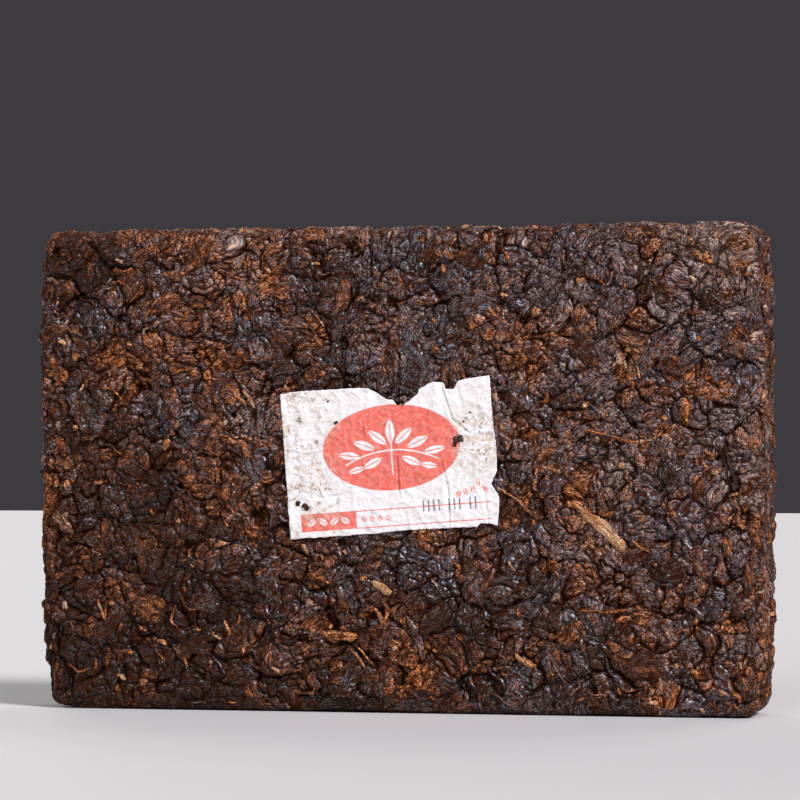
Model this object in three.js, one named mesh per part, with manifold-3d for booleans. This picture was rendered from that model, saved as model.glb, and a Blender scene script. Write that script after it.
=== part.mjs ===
// A brick of ripe pu-erh tea: leaves steamed and pressed in a rectangular mould. It stands on one
// long side, with a torn paper ticket pressed into its front.
// Millimetres: X runs along the brick, Y through it with the front facing -Y, and Z is up.
// The origin is at the middle of the underside.
import * as THREE from "three";
import { mergeVertices } from "three/addons/utils/BufferGeometryUtils.js";
import Module from "manifold-3d";

// The brick as it leaves the mould
const BRICK = new THREE.Vector3(180, 26, 118);
const EDGE_RADII = new THREE.Vector3(5.5, 4, 5.5); // roundness of edges and corners along X, Y and Z
const END_LEAN = 1.5; // the left end leans in by this much at the foot

// The mesh: cells on the flat of each face, and cells across half of each rounded edge
const FLAT_CELLS = { x: 50, y: 5, z: 32 };
const EDGE_CELLS = 2;
const CELL = (BRICK.x - 2 * EDGE_RADII.x) / FLAT_CELLS.x;

// The clumps of leaf that show at the surface
const CLUMP_PITCH = 10.5; // from one clump to the next
const CLUMP_JITTER = 0.36; // share of the pitch
const CLUMP_STRETCH = [1.15, 2.1]; // length over width
const CLUMP_DROP = [-0.35, 0.85]; // how far a clump's top lies below the mould's wall
const CLUMP_TILT = [0.02, 0.12]; // slope of a clump's top
const CREASE_DEPTH = 1.3;
const CREASE_WIDTH = 4.2; // width over which a clump falls away to the crease beside it
const CREASE_REACH = 0.34 * CELL; // vertices closer to a crease than this are drawn onto it
const LEAST_SLOPE = 0.2; // below this a crease's place can't be told from the slope towards it
const SLOPE_STEP = 0.2; // distance over which that slope is measured
const SIDE_RELIEF = 0.45; // the mould's walls rub the sides and edges smoother than the large faces
const SWELL = { depth: 0.25, lengthAcross: 19, lengthUp: 14 }; // slow rise and fall of a whole face
const REST_PAD = 9; // radius of the part of the underside that is pressed quite flat
const SEED = 9;

// The paper ticket
const TICKET = { width: 52, height: 36, thickness: 0.3 };
const TICKET_CENTRE = new THREE.Vector2(-0.8, 61.8); // on the front, as X and Z
const TICKET_TURN = THREE.MathUtils.degToRad(4.3);
const TICKET_BED = 0.85; // depth of the bed that the ticket has pressed into the leaves
const TICKET_GAP = 0.3; // between the paper and the leaves, behind it and round it
const TICKET_WAVE = { depth: 0.1, lengthAcross: 2.9, lengthUp: 2.3 };
const TICKET_COLUMNS = 26;
const TICKET_ROWS = 11;
const BED_COLUMNS = 2 * TICKET_COLUMNS;
const BED_PROUD = 3; // how far the cutter for the bed stands out in front of the brick
// The torn upper edge and the nicked right edge, from the ticket's middle
const TORN_TOP = [
  [-26, 18.2], [-4.7, 17.4], [-1.3, 15.2], [2.3, 13.4], [3, 12.4], [4.8, 13.5], [8.3, 15.9],
  [11.9, 17.3], [13.9, 17.4], [14.8, 15.6], [16.8, 16.2], [18.9, 17.7], [26, 18],
];
const NICKED_RIGHT = [[-18, 25.8], [-10.1, 26.2], [-8, 24.8], [-5, 26.3], [18, 26]];

const TEA = new THREE.MeshStandardMaterial({ color: 0x3b2a24, roughness: 0.6, metalness: 0 });
const PAPER = new THREE.MeshStandardMaterial({ color: 0xf0ece8, roughness: 0.9, metalness: 0 });

// A repeatable source of random numbers from 0 to 1 (mulberry32)
function randomSource(seed) {
  let state = seed;
  return () => {
    state = (state + 0x6d2b79f5) | 0;
    let t = Math.imul(state ^ (state >>> 15), 1 | state);
    t = (t + Math.imul(t ^ (t >>> 7), 61 | t)) ^ t;
    return ((t ^ (t >>> 14)) >>> 0) / 4294967296;
  };
}

const random = randomSource(SEED);
const between = ([low, high]) => low + (high - low) * random();
const AXES = ["x", "y", "z"];
const X_AXIS = new THREE.Vector3(1, 0, 0);
const Z_AXIS = new THREE.Vector3(0, 0, 1);
const { smoothstep } = THREE.MathUtils;
const HALF = BRICK.clone().multiplyScalar(0.5);
const INNER = HALF.clone().sub(EDGE_RADII); // the box that the rounded edges turn about

// Calls visit(place, across, up, face) for each of the six faces, where place(a, b) is a point of it.
function eachFace(visit) {
  for (const through of AXES) {
    const [across, up] = AXES.filter((axis) => axis !== through);
    for (const side of [-1, 1]) {
      const place = (a, b) => {
        const point = new THREE.Vector3();
        point[through] = side * HALF[through];
        point[across] = a;
        point[up] = b;
        return point;
      };
      visit(place, across, up, { through, side });
    }
  }
}

// Clumps on a jittered lattice over all six faces, each with its own long axis and height.
function makeClumps() {
  const clumps = [];
  eachFace((place, across, up, { through, side }) => {
    const columns = Math.max(1, Math.round((2 * HALF[across]) / CLUMP_PITCH));
    const rows = Math.max(2, Math.round((2 * HALF[up]) / (CLUMP_PITCH * Math.sqrt(0.75))));
    const underside = through === "z" && side < 0;
    for (let row = 0; row < rows; row++) {
      for (let column = 0; column < columns; column++) {
        const shift = row % 2 ? 0.25 : -0.25;
        const a = ((column + 0.5 + shift + CLUMP_JITTER * (2 * random() - 1)) / columns - 0.5) * 2;
        const b = ((row + 0.5 + CLUMP_JITTER * (2 * random() - 1)) / rows - 0.5) * 2;
        const angle = Math.PI * random();
        const fall = 2 * Math.PI * random();
        clumps.push({
          centre: place(a * HALF[across], b * HALF[up]),
          axis: place(Math.cos(angle), Math.sin(angle)).sub(place(0, 0)),
          stretch: between(CLUMP_STRETCH),
          drop: underside ? 0 : between(CLUMP_DROP),
          tilt: place(Math.cos(fall), Math.sin(fall))
            .sub(place(0, 0))
            .multiplyScalar(underside ? 0 : between(CLUMP_TILT)),
        });
      }
    }
  });
  return clumps;
}

const clumps = makeClumps();
const offset = new THREE.Vector3();

// The clump that a point belongs to, and how much nearer it is than the next: 0 is on a crease.
function clumpAt(point) {
  let nearest = null;
  let least = Infinity;
  let next = Infinity;
  for (const clump of clumps) {
    offset.subVectors(point, clump.centre);
    const along = offset.dot(clump.axis);
    const shrink = 1 - 1 / clump.stretch ** 2;
    const distance = Math.sqrt(Math.max(0, offset.lengthSq() - shrink * along * along));
    if (distance < least) {
      next = least;
      least = distance;
      nearest = clump;
    } else if (distance < next) {
      next = distance;
    }
  }
  return { clump: nearest, margin: next - least };
}

// The rounded box: the surface point and the outward direction for a point of the sharp box.
function roundedBox(point) {
  const core = point.clone().clamp(INNER.clone().negate(), INNER);
  const outward = point.clone().sub(core).divide(EDGE_RADII).normalize();
  return { surface: core.add(outward.clone().multiply(EDGE_RADII)), outward };
}

// Slides a point of a flat face onto a crease that runs close by it.
function drawOntoCrease(surface, outward) {
  const onEdge = Math.max(...outward.toArray().map(Math.abs)) < 1;
  if (onEdge) return surface;
  const { margin } = clumpAt(surface);
  const side = new THREE.Vector3().crossVectors(outward, Math.abs(outward.z) > 0.7 ? X_AXIS : Z_AXIS);
  side.normalize();
  const above = new THREE.Vector3().crossVectors(side, outward);
  const slopes = [side, above].map(
    (way) => (clumpAt(surface.clone().addScaledVector(way, SLOPE_STEP)).margin - margin) / SLOPE_STEP,
  );
  const steepness = Math.hypot(...slopes);
  const distance = steepness > LEAST_SLOPE ? margin / steepness : Infinity;
  if (distance > CREASE_REACH) return surface;
  return surface
    .clone()
    .addScaledVector(side, (-distance * slopes[0]) / steepness)
    .addScaledVector(above, (-distance * slopes[1]) / steepness);
}

// How far the leaves lie inside the mould's wall at a point.
function depthAt(surface, outward) {
  const { clump, margin } = clumpAt(surface);
  const crease = (1 - smoothstep(margin, 0, CREASE_WIDTH)) * CREASE_DEPTH;
  const slant = offset.subVectors(surface, clump.centre).dot(clump.tilt);
  const wave = Math.sin(surface.x / SWELL.lengthAcross + 1) * Math.cos(surface.z / SWELL.lengthUp);
  const below = smoothstep(-outward.z, 0.6, 0.95);
  const swell = SWELL.depth * (1 + wave) * (1 - below);
  const onPad = 1 - smoothstep(Math.hypot(surface.x, surface.y), REST_PAD, REST_PAD + CELL);
  const onSide = smoothstep(1 - Math.abs(outward.y), 0.1, 0.6);
  const depth = Math.max(0, clump.drop + slant + swell) + crease;
  return depth * (1 - below * onPad) * (1 - onSide * (1 - SIDE_RELIEF));
}

function leanEnd(point) {
  const towardsFoot = 0.5 - point.z / BRICK.z;
  point.x += END_LEAN * towardsFoot * Math.max(0, -point.x / HALF.x);
  return point;
}

// Even cells on the flat, and cells of equal turn round the edge, measured along one axis.
function gridLine(share, axis) {
  const cells = FLAT_CELLS[axis] + 2 * EDGE_CELLS;
  const index = Math.round(share * cells);
  const fromEnd = Math.min(index, cells - index);
  if (fromEnd < EDGE_CELLS) {
    const turn = ((EDGE_CELLS - fromEnd) / EDGE_CELLS) * (Math.PI / 4);
    const reach = INNER[axis] + EDGE_RADII[axis] * Math.tan(turn);
    return index < cells / 2 ? -reach : reach;
  }
  return INNER[axis] * ((2 * (index - EDGE_CELLS)) / FLAT_CELLS[axis] - 1);
}

// One watertight geometry with only positions, as booleans need it.
function welded(geometry) {
  const bare = geometry.clone();
  bare.deleteAttribute("normal");
  bare.deleteAttribute("uv");
  return mergeVertices(bare, 1e-4);
}

function pressedBlock() {
  const cells = AXES.map((axis) => FLAT_CELLS[axis] + 2 * EDGE_CELLS);
  const block = welded(new THREE.BoxGeometry(1, 1, 1, ...cells));
  const position = block.getAttribute("position");
  const point = new THREE.Vector3();
  for (let i = 0; i < position.count; i++) {
    point.fromBufferAttribute(position, i);
    for (const axis of AXES) point[axis] = gridLine(point[axis] + 0.5, axis);
    const { surface, outward } = roundedBox(point);
    const placed = drawOntoCrease(surface, outward);
    placed.addScaledVector(outward, -depthAt(placed, outward));
    leanEnd(placed);
    position.setXYZ(i, placed.x, placed.y, placed.z + HALF.z);
  }
  return block;
}

// A value read off a list of [place, value] points joined by straight lines.
function along(points, place) {
  const last = points.length - 1;
  if (place <= points[0][0]) return points[0][1];
  if (place >= points[last][0]) return points[last][1];
  const i = points.findIndex(([at]) => at >= place);
  const [[a, from], [b, to]] = [points[i - 1], points[i]];
  return from + ((to - from) * (place - a)) / (b - a);
}

// A point of the ticket, from its shares across and up, in the ticket's own plane.
function ticketPoint(share, rise) {
  const left = -TICKET.width / 2;
  const foot = -TICKET.height / 2;
  const x = left + share * TICKET.width;
  const z = foot + rise * (along(TORN_TOP, x) - foot);
  const right = along(NICKED_RIGHT, z);
  return new THREE.Vector2(left + share * (right - left), z);
}

// The same point on the brick's front, where depth is measured in from the mould's wall.
function onFront(flat, depth) {
  const turned = flat.clone().rotateAround(new THREE.Vector2(), TICKET_TURN).add(TICKET_CENTRE);
  return new THREE.Vector3(turned.x, depth - HALF.y, turned.y);
}

// A closed sheet from a front and a back, each a grid of points, with both split alike.
function sheet(columns, rows, pointAt) {
  const positions = [];
  const triangles = [];
  const stride = columns + 1;
  const side = stride * (rows + 1);
  for (const back of [false, true]) {
    for (let row = 0; row <= rows; row++) {
      for (let column = 0; column <= columns; column++) {
        positions.push(...pointAt(column / columns, row / rows, back).toArray());
      }
    }
  }
  for (let row = 0; row < rows; row++) {
    for (let column = 0; column < columns; column++) {
      const a = row * stride + column;
      const [b, c, d] = [a + 1, a + stride + 1, a + stride];
      triangles.push(a, b, c, a, c, d);
      triangles.push(side + a, side + c, side + b, side + a, side + d, side + c);
    }
  }
  const rim = [];
  for (let column = 0; column < columns; column++) rim.push(column);
  for (let row = 0; row < rows; row++) rim.push(row * stride + columns);
  for (let column = columns; column > 0; column--) rim.push(rows * stride + column);
  for (let row = rows; row > 0; row--) rim.push(row * stride);
  rim.forEach((a, i) => {
    const b = rim[(i + 1) % rim.length];
    triangles.push(a, side + a, side + b, a, side + b, b);
  });
  const geometry = new THREE.BufferGeometry();
  geometry.setAttribute("position", new THREE.Float32BufferAttribute(positions, 3));
  geometry.setIndex(triangles);
  return geometry;
}

function paperTicket() {
  return sheet(TICKET_COLUMNS, TICKET_ROWS, (share, rise, back) => {
    const flat = ticketPoint(share, rise);
    const { depth, lengthAcross, lengthUp } = TICKET_WAVE;
    const wave = depth * Math.sin(flat.x / lengthAcross + 1) * Math.cos(flat.y / lengthUp);
    const behind = TICKET_BED - TICKET_GAP - depth + wave;
    return onFront(flat, back ? behind : behind - TICKET.thickness);
  });
}

// What the ticket has pressed out of the leaves: its outline with a gap round it.
function ticketBed() {
  const growth = new THREE.Vector2(
    1 + (2 * TICKET_GAP) / TICKET.width,
    1 + (2 * TICKET_GAP) / TICKET.height,
  );
  return sheet(BED_COLUMNS, 1, (share, rise, back) => {
    const flat = ticketPoint(share, rise).multiply(growth);
    if (rise === 1) flat.y += TICKET_GAP;
    return onFront(flat, back ? TICKET_BED : -BED_PROUD);
  });
}

const wasm = await Module();
wasm.setup();

function toSolid(geometry) {
  const mesh = welded(geometry);
  const solid = new wasm.Manifold(
    new wasm.Mesh({
      numProp: 3,
      vertProperties: mesh.getAttribute("position").array,
      triVerts: new Uint32Array(mesh.getIndex().array),
    }),
  );
  return solid;
}

function toGeometry(solid) {
  const { vertProperties, triVerts } = solid.getMesh();
  const geometry = new THREE.BufferGeometry();
  geometry.setAttribute("position", new THREE.BufferAttribute(new Float32Array(vertProperties), 3));
  geometry.setIndex(new THREE.BufferAttribute(new Uint32Array(triVerts), 1));
  geometry.computeVertexNormals();
  return geometry;
}

function namedMesh(name, geometry, material) {
  const mesh = new THREE.Mesh(geometry, material);
  mesh.name = name;
  return mesh;
}

const block = toSolid(pressedBlock()).subtract(toSolid(ticketBed()));
const ticket = paperTicket();
ticket.computeVertexNormals();

const teaBrick = new THREE.Group();
teaBrick.add(namedMesh("tea_brick", toGeometry(block), TEA));
teaBrick.add(namedMesh("paper_ticket", ticket, PAPER));

export default teaBrick;
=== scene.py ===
"""A brick of ripe pu-erh tea: leaves pressed in a rectangular mould, with a torn paper ticket in its front.

The pressed mass is five closed pieces that meet inside the brick, all with one relief of lumps and wrinkles.
Loose leaves are pressed into it, one mesh for each kind, and the leaves of note on its front are placed one
by one. Sizes are in millimetres from the middle of the brick until a mesh is made, which is then in metres.
"""

import itertools
import math

import bpy
import numpy as np
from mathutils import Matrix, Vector
from mathutils.bvhtree import BVHTree


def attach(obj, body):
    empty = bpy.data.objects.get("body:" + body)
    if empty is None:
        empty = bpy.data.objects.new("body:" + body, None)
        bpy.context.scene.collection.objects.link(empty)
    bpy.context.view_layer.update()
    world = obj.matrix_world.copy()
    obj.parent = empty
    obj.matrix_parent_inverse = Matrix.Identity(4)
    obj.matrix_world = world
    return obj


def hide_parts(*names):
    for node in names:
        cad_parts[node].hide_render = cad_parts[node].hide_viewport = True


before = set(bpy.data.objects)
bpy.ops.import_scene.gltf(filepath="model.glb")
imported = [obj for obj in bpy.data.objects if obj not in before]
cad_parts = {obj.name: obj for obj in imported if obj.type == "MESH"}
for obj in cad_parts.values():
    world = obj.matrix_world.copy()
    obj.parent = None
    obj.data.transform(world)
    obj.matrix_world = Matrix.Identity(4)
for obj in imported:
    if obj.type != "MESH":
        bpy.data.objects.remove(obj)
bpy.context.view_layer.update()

MM = 0.001
BODY = "root"

# The mould that the leaves were pressed in, as in the CAD model
HALF = np.array([90.0, 13.0, 59.0])
RADII = np.array([5.5, 4.0, 5.5])
INNER = HALF - RADII
END_LEAN = 1.5
LIFT = np.array([0, 0, HALF[2]])
RELIEF_SHARE = 0.45  # of the CAD brick's relief, on which the finer lumps lie
RAISED = 0.3  # the pressed leaves over the mould's wall, as they swell when they leave it
UNDERNEATH = -0.3  # outward directions that dip more than this belong to the underside, which is flat
FACING_FRONT = -0.9  # outward directions below this, from front to back, belong to the flat of the front

# The paper ticket, as in the CAD model
TICKET_WIDTH = 52.0
TICKET_HEIGHT = 36.0
TICKET_CENTRE = np.array([-0.8, 61.8 - HALF[2]])  # 61.8 over the floor
TICKET_TURN = math.radians(4.3)
TORN_TOP = [
    (-26, 17.5), (-21.5, 17.8), (-7, 17.5), (-4.1, 17.2), (-1.7, 15.7), (-0.5, 14.7), (0.6, 14.1),
    (1.9, 13.9), (2.8, 12.5), (4, 12.3), (5.9, 13.4), (8.2, 15.1), (8.5, 16.1), (11.9, 17.5),
    (14.6, 17.1), (15, 15.6), (17, 15.4), (18.2, 17.1), (20.7, 17.7), (26, 17.9),
]
NICKED_RIGHT = [
    (-18, 25.4), (-15, 26), (-12.1, 26.3), (-10.6, 26.1), (-8.1, 24.6), (-5.1, 26.3), (0.8, 26.5), (7, 26.1),
    (18, 26.2),
]
WORN_FOOT = [(-26, -17.9), (-4, -18), (2.6, -17.7), (20.9, -18.1), (21.8, -17.4), (24.3, -17.6), (26, -18.2)]

# The paper: its front, from the mould's wall, and the folds in it, as how high each stands and where it runs
PAPER_CELLS = (208, 140)
PAPER_HEIGHT = -0.05
PAPER_THICKNESS = 0.12
PAPER_BED_EDGE = 0.7  # over which the leaves rise beside the paper
# Its lumps, as height, length and place in the swells, and its crumples, which have a width besides
PAPER_LUMPS = [(0.2, 5.2, 0), (0.11, 2.3, 50)]
PAPER_CRUMPLES = [(0.17, 4.2, 20, 0.35), (0.11, [2.2, 1.5, 1], 80, 0.5)]
FOLD_WIDTH = 0.25
PAPER_FOLDS = [
    (-0.32, [(14.2, 16), (16.2, 8.2), (20.2, 4.4)]),
    (0.13, [(14.7, 16), (16.7, 8.4), (20.6, 4.9)]),
    (-0.38, [(2.0, 0), (1.8, -8.5)]),
    (0.16, [(2.5, 0), (2.3, -8.5)]),
    (-0.26, [(1.2, 10.5), (1.6, 5.5)]),
    (-0.26, [(13.0, -2), (14.0, -9), (13.6, -18)]),
    (0.13, [(13.5, -2), (14.5, -9), (14.1, -18)]),
    (-0.26, [(22.8, -9.5), (23.2, -18)]),
    (0.22, [(-5.6, 9.5), (-5.2, 5.8)]),
    (-0.26, [(5.4, 5.6), (10.4, 10.4)]),
    (-0.19, [(6, 8), (9.6, 3)]),
    (0.19, [(13.2, -2), (13.6, -6.5)]),
    (0.19, [(-25, 4), (-20, 2.6), (-15, 3.4)]),
    (-0.19, [(-24, -6), (-17, -8.6), (-12, -8)]),
]

FACES = {
    "front": (1, -1), "back": (1, 1), "left": (0, -1), "right": (0, 1), "underside": (2, -1), "top": (2, 1),
}


# ---------------------------------------------------------------- random swells and lumps

DRAWS = 1024
LUMP_TILT = 0.08
CURL_RADII = (0.25, 0.6)  # shares of the pitch
FIBRE_LENGTHS = [0.9, 1.2, 2.0, 4.5]


def draw_of(order, cells):
    """A random number below DRAWS for each whole-numbered cell of space."""
    x, y, z = (cells[..., i] % DRAWS for i in range(3))
    return order[(x + order[(y + order[z]) % DRAWS]) % DRAWS]


def unit(vectors):
    return vectors / (np.linalg.norm(vectors, axis=-1, keepdims=True) + 1e-9)


class Swells:
    """Smooth random waves about one unit long, mostly from -1 to 1, in one or more values at once."""

    def __init__(self, seed, values=1):
        rng = np.random.default_rng(seed)
        self.order = rng.permutation(DRAWS)
        self.slopes = 1.5 * unit(rng.normal(size=(DRAWS, values, 3)))

    def __call__(self, places):
        low = np.floor(places).astype(int)
        within = places - low
        fade = within ** 3 * (within * (within * 6 - 15) + 10)
        total = 0
        for corner in itertools.product((0, 1), repeat=3):
            share = np.prod(np.where(corner, fade, 1 - fade), axis=-1)
            slopes = self.slopes[draw_of(self.order, low + corner)]
            total = total + share[..., None] * np.einsum("...vi,...i->...v", slopes, within - corner)
        return total if total.shape[-1] > 1 else total[..., 0]


class Lumps:
    """Irregular lumps of leaf that fill space, each with its own height, lie and looks."""

    def __init__(self, seed, pitch, stretch, offset, curled):
        rng = np.random.default_rng(seed)
        self.pitch = pitch
        self.order = rng.permutation(DRAWS)
        self.jitter = rng.uniform(-0.5, 0.5, (DRAWS, 3))
        self.along = unit(rng.normal(size=(DRAWS, 3)))
        self.shortening = 1 - 1 / rng.uniform(*stretch, DRAWS) ** 2
        self.offset = rng.uniform(*offset, DRAWS)
        self.tilt = rng.normal(0, LUMP_TILT, (DRAWS, 3))
        self.pivot = rng.choice([-1, 1], DRAWS) * rng.uniform(*CURL_RADII, DRAWS) * pitch
        self.curled = rng.uniform(size=DRAWS) < curled
        self.fibre = rng.choice(FIBRE_LENGTHS, DRAWS)
        self.rough = rng.uniform(0, 1, DRAWS)
        self.tone = rng.beta(1.6, 2.6, DRAWS)
        self.gloss = rng.uniform(0, 1, DRAWS)

    def nearest(self, places):
        """The draw of the nearest lump, the way from its middle and the distance to its edge."""
        home = np.floor(places / self.pitch).astype(int)
        best = second = np.full(places.shape[:-1], np.inf)
        drawn = np.zeros(places.shape[:-1], int)
        way = best_slope = second_slope = np.zeros(places.shape)
        for step in itertools.product((-1, 0, 1), repeat=3):
            cell = home + step
            draw = draw_of(self.order, cell)
            away = places - (cell + 0.5 + self.jitter[draw]) * self.pitch
            lengthwise = self.shortening[draw] * np.sum(away * self.along[draw], -1)
            slope = away - lengthwise[..., None] * self.along[draw]
            distance = np.sqrt(np.sum(away * slope, -1))
            slope = slope / (distance[..., None] + 1e-9)
            nearer = distance < best
            next_best = (distance < second) & ~nearer
            second_slope = np.where(next_best[..., None], slope, second_slope)
            second_slope = np.where(nearer[..., None], best_slope, second_slope)
            best_slope = np.where(nearer[..., None], slope, best_slope)
            second = np.where(nearer, best, np.minimum(second, distance))
            drawn = np.where(nearer, draw, drawn)
            way = np.where(nearer[..., None], away, way)
            best = np.minimum(best, distance)
        steepness = np.linalg.norm(second_slope - best_slope, axis=-1)
        return drawn, way, (second - best) / np.maximum(steepness, 0.4)

    def height(self, drawn, way):
        """How high each lump stands, with its tilt."""
        return self.offset[drawn] + np.sum(self.tilt[drawn] * way, -1)

    def lie(self, drawn, way, outward):
        """Places along and across the leaf of each lump, round its pivot where it has curled up."""
        across = unit(np.cross(outward, self.along[drawn]))
        along = np.cross(across, outward)
        u = np.sum(way * along, -1)
        v = np.sum(way * across, -1)
        pivot = self.pivot[drawn]
        ring = np.hypot(u, v - pivot)
        turn = np.arctan2(u, (v - pivot) * np.sign(-pivot)) * np.abs(pivot)
        curled = self.curled[drawn]
        return np.where(curled, turn, u), np.where(curled, ring, v)


# ---------------------------------------------------------------- the brick's surface

RAY_START = 4.0  # over the mould's wall
RELIEF_RANGE = (-0.5, 2.5)


def wall_of(cad):
    """The relief of the CAD brick, to be read along rays."""
    mesh = cad.data
    corners = [tuple(v.co / MM) for v in mesh.vertices]
    return BVHTree.FromPolygons(corners, [tuple(p.vertices) for p in mesh.polygons])


def leaned(points):
    """The left end leans out towards its foot."""
    towards_foot = 0.5 - (points[..., 2] + HALF[2]) / (2 * HALF[2])
    points[..., 0] += END_LEAN * towards_foot * np.clip(-points[..., 0] / HALF[0], 0, None)
    return points


def wrapped(places):
    """Points near the sharp box, laid on the rounded one: the points and the outward directions."""
    core = np.clip(places, -INNER, INNER)
    outward = unit((places - core) / RADII)
    return leaned(core + outward * RADII), outward


def relief_depth(points, outward):
    """How far the CAD brick's relief lies inside the mould's wall at each point."""
    starts = (points + outward * RAY_START + LIFT).reshape(-1, 3)
    inward = -outward.reshape(-1, 3)
    depths = np.zeros(len(starts))
    cast = wall.ray_cast
    for i, (start, way) in enumerate(zip(starts.tolist(), inward.tolist())):
        distance = cast(start, way)[3]
        depths[i] = RAY_START if distance is None else distance
    return np.clip(depths - RAY_START, *RELIEF_RANGE).reshape(points.shape[:-1])


def on_face(face, flat):
    """Points of a face of the sharp box from their places across it and up it."""
    axis, side = FACES[face]
    across, up = [i for i in range(3) if i != axis]
    places = np.zeros(flat.shape[:-1] + (3,))
    places[..., axis] = side * HALF[axis]
    places[..., across] = flat[..., 0]
    places[..., up] = flat[..., 1]
    return places


# ---------------------------------------------------------------- the place of the ticket


def turned(across, up, angle):
    """Places on a plane, turned about its middle."""
    cos, sin = np.cos(angle), np.sin(angle)
    return np.stack([across * cos - up * sin, across * sin + up * cos], -1)


def ticket_place(points):
    """Places on the ticket's own plane, from its middle."""
    away = points[..., [0, 2]] - TICKET_CENTRE
    return turned(away[..., 0], away[..., 1], -TICKET_TURN)


def ticket_edges(place):
    """The torn upper edge and the nicked right edge level with each place."""
    top = np.interp(place[..., 0], *np.transpose(TORN_TOP))
    right = np.interp(place[..., 1], *np.transpose(NICKED_RIGHT))
    return top, right


def under_ticket(points, outward):
    """How far each point is under the paper: 1 well under it, and 0 clear of it."""
    place = ticket_place(points)
    top, right = ticket_edges(place)
    within = np.min([
        place[..., 0] + TICKET_WIDTH / 2, right - place[..., 0],
        place[..., 1] + TICKET_HEIGHT / 2, top - place[..., 1],
    ], axis=0)
    return eased(1 + within / PAPER_BED_EDGE) * (outward[..., 1] < FACING_FRONT)


def nearness(place, line):
    """How near each place is to a line of points: 1 on it, and soon 0 beside it."""
    nearest = np.full(place.shape[:-1], np.inf)
    for start, end in itertools.pairwise(np.array(line, float)):
        way = end - start
        share = np.clip((place - start) @ way / (way @ way), 0, 1)
        nearest = np.minimum(nearest, np.linalg.norm(place - start - share[..., None] * way, axis=-1))
    return np.exp(-(nearest / FOLD_WIDTH) ** 2)


def crumples(places, width):
    """Winding lines through the paper: 1 on them and 0 between them."""
    return (1 - np.abs(PAPER_SWELLS(places)) / width).clip(0) ** 2


def paper_height(place):
    """The height of the paper's front, from the mould's wall, at places on its own plane."""
    flat = np.stack([place[..., 0], place[..., 1], np.zeros(place.shape[:-1])], -1)
    bent = flat + 0.6 * FLOW(flat / 4)
    lumps = sum(high * PAPER_SWELLS(flat / long + salt) for high, long, salt in PAPER_LUMPS)
    lines = sum(high * crumples(bent / long + salt, width) for high, long, salt, width in PAPER_CRUMPLES)
    folds = sum(high * nearness(place, line) for high, line in PAPER_FOLDS)
    return PAPER_HEIGHT + lumps + lines + folds


# ---------------------------------------------------------------- the relief of the pressed leaves

FLOW = Swells(31, 3)
RIPPLES = Swells(32, 3)
CREPE = Swells(33)
PAPER_SWELLS = Swells(34)
PATCHES = Swells(35)
LEAF_LUMPS = Lumps(41, pitch=8.2, stretch=(1.0, 2.1), offset=(-0.18, 0.18), curled=0.35)
SMALL_LUMPS = Lumps(42, pitch=4.0, stretch=(1.0, 2.2), offset=(-0.14, 0.14), curled=0.2)
SHOULDER_WIDTH = 1.1  # over which a lump falls towards its edge, and over which a small one does
SMALL_SHOULDER_WIDTH = 0.8
WRINKLE_WIDTH = 0.75
CREVICE_WIDTH = 0.3
SMALL_CREVICE_WIDTH = 0.22
CREVICE_DEPTH = 0.8
PIT_DEPTH = 2.0
UNDERSIDE_RELIEF = 0.35  # what is left of the relief where the brick stands on it
EDGE_DROP = 0.25  # how far the edges of the brick lie inside the swollen leaves
EDGE_CALM = 0.6  # how much of the relief is missing on them
PRESSED_CLEARANCE = 0.2  # of the pressed leaves from the paper's front, and of the loose ones
LOOSE_CLEARANCE = 0.3
# Places of the front made paler or darker, and glossier with more painted sheen or less: place, reach, how
# much paler and how much glossier. The darkest, at the left end of the foot, is painted shadow where the
# brick stands on the floor
TONED_PLACES = [
    ((-77, 50), (11, 8), -0.15, -0.5), ((-50, 55), (12, 5), 0.4, 0.0), ((-36, 46), (9, 7), 0.6, -0.1),
    ((-23, 45), (4, 9), -0.55, 0.0), ((-16, 57), (8, 4), 0.4, 0.0), ((-2, 50), (8, 6), -0.35, 0.0),
    ((40, 45), (13, 10), -0.2, 0.4), ((62, 52), (7, 6), 0.0, -0.4), ((74, 56), (9, 6), 1.0, 0.0),
    ((84, 50), (9, 9), 1.1, 0.0), ((77, 42), (6, 6), 0.8, 0.6), ((-70, 23), (7, 6), 0.35, -0.4),
    ((-52, -11), (7, 7), 0.15, -0.5), ((-9, -56), (8, 5), -0.5, 0.0), ((-47, 28), (8, 7), 0.4, -0.2),
    ((-34, 33), (8, 6), -0.3, 0.3), ((-20, 32), (5, 6), 0.45, 0.0), ((4, 25), (7, 8), -0.3, 1.1),
    ((57, 25), (5, 5), 0.45, -0.1), ((85, 25), (8, 9), -0.4, 0.35), ((-55, 13), (8, 6), -0.55, 0.8),
    ((-34, 13), (8, 7), 0.8, 0.7), ((30, 30), (7, 7), 0.2, -0.2), ((41, 22), (5, 5), -0.3, 0.0),
    ((75, 13), (6, 6), 0.4, 0.0), ((82, 3), (8, 12), 0.65, 0.5), ((55, 1), (9, 7), 1.1, 0.5),
    ((60, 13), (6, 4), -0.3, 0.4), ((-65, -2), (9, 9), -0.5, -0.5), ((-82, -18), (7, 9), -0.15, -0.5),
    ((33, -14), (6, 6), -0.35, 0.0), ((49, -19), (9, 9), 0.8, 0.15), ((71, -14), (6, 6), -0.35, 0.0),
    ((4, -24), (11, 7), -0.4, 0.4), ((-38, -29), (14, 9), -0.7, -0.3), ((14, -37), (13, 9), -0.5, -0.3),
    ((-16, -43), (9, 7), 0.05, -0.5), ((64, -38), (9, 7), 0.2, 0.0), ((-62, -43), (15, 15), -0.2, -0.9),
    # The first place here, at the left end of the foot, is painted shadow where the brick stands on the floor
    ((-85, -52), (8, 9), -0.7, -1.0), ((6, -47), (8, 8), 0.3, -0.8), ((30, -53), (10, 6), -0.4, 0.0),
]
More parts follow.
